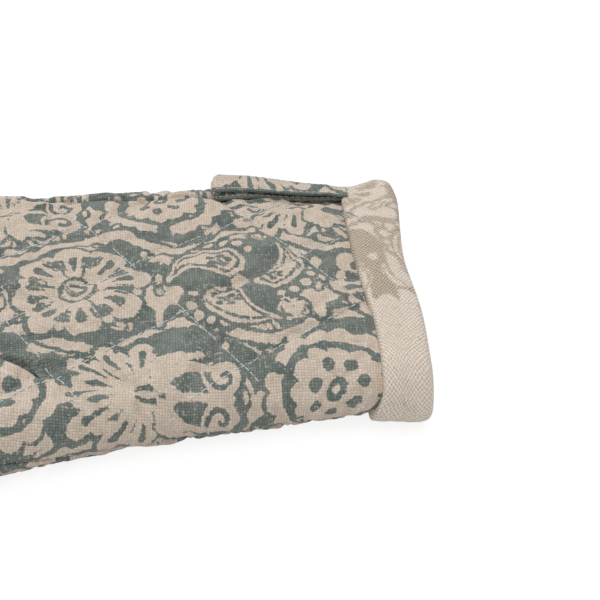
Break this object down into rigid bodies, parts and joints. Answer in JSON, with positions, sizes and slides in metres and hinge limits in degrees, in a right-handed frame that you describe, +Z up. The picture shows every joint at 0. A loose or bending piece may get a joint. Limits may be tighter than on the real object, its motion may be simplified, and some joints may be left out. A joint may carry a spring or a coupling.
{
  "type": "oven mitt",
  "caption": "Quilted fabric oven mitt with a thumb, a turned-over cuff band and a folded hanging loop, laid flat palm up.",
  "frame": {"origin": "on the flat underside, half way along the mitt and on the middle line of the cuff", "axes": "+X towards the open cuff, -X towards the fingertips, -Y towards the thumb, +Y towards the side with the hanging loop, +Z up out of the palm"},
  "size_m": [0.32, 0.1907, 0.0307],
  "materials": {
    "cover": "plain-woven linen colour cloth with a slate blue-green block print",
    "binding": "plain-woven linen colour cloth cut on the bias, wrong side out",
    "wadding": "matt felted wadding",
    "lining": "plain-woven unbleached cotton",
    "thread": "pale spun sewing thread"
  },
  "bodies": {
    "hand": {"palm_cover_hand": "cover", "palm_wadding_hand": "wadding", "palm_lining_hand": "lining", "back_cover_hand": "cover", "back_wadding_hand": "wadding", "back_lining_hand": "lining", "palm_quilting_hand": "thread", "back_quilting_hand": "thread", "seam_thread_hand": "thread", "cuff_band": "binding", "band_stitching": "thread"},
    "fingers": {"palm_cover_fingers": "cover", "palm_wadding_fingers": "wadding", "palm_lining_fingers": "lining", "back_cover_fingers": "cover", "back_wadding_fingers": "wadding", "back_lining_fingers": "lining", "palm_quilting_fingers": "thread", "back_quilting_fingers": "thread", "seam_thread_fingers": "thread"},
    "thumb": {"palm_cover_thumb": "cover", "palm_wadding_thumb": "wadding", "palm_lining_thumb": "lining", "back_cover_thumb": "cover", "back_wadding_thumb": "wadding", "back_lining_thumb": "lining", "palm_quilting_thumb": "thread", "back_quilting_thumb": "thread", "seam_thread_thumb": "thread"},
    "loop": {"hanging_loop": "cover", "loop_stitching": "thread"}
  },
  "joints": [
    {"name": "finger_curl", "type": "hinge", "parent": "hand", "child": "fingers", "pos_m": [-0.062, 0, 0.0145], "axis": [0, 1, 0], "range_deg": [0, 50], "stiffness_Nm_per_rad": 0.12},
    {"name": "thumb_fold", "type": "hinge", "parent": "hand", "child": "thumb", "pos_m": [-0.03757, -0.07471, 0.0133], "axis": [-0.5446, 0.8387, 0], "range_deg": [0, 45], "stiffness_Nm_per_rad": 0.03},
    {"name": "loop_swing", "type": "hinge", "parent": "hand", "child": "loop", "pos_m": [0.1336, 0.0595, 0.02804], "axis": [0, 1, 0], "range_deg": [0, 150]}
  ]
}
